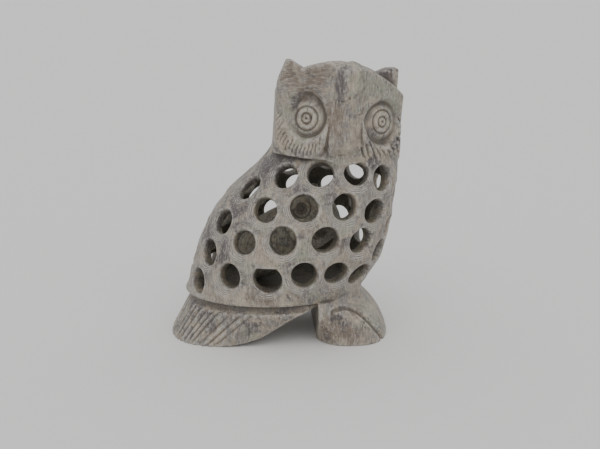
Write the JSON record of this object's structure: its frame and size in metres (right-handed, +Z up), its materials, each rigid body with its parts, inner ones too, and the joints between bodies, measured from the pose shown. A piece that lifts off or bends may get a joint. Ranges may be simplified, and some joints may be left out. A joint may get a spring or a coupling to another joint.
{
  "type": "soapstone owl figurine",
  "caption": "Carved soapstone owl with a drilled lattice body, a fanned tail, a block of feet, and a loose baby owl carved inside the hollow body.",
  "frame": {"origin": "on the floor that the figure stands on, under the middle of its box", "axes": "+Z up, +X from the tail towards the feet and chest, and the face is turned towards -Y"},
  "size_m": [0.0842, 0.0548, 0.0997],
  "materials": {
    "soapstone": "hand-filed and lightly polished, with veins and cloudy patches"
  },
  "bodies": {
    "root": {"owl": "soapstone", "baby_owl": "soapstone"}
  },
  "joints": []
}
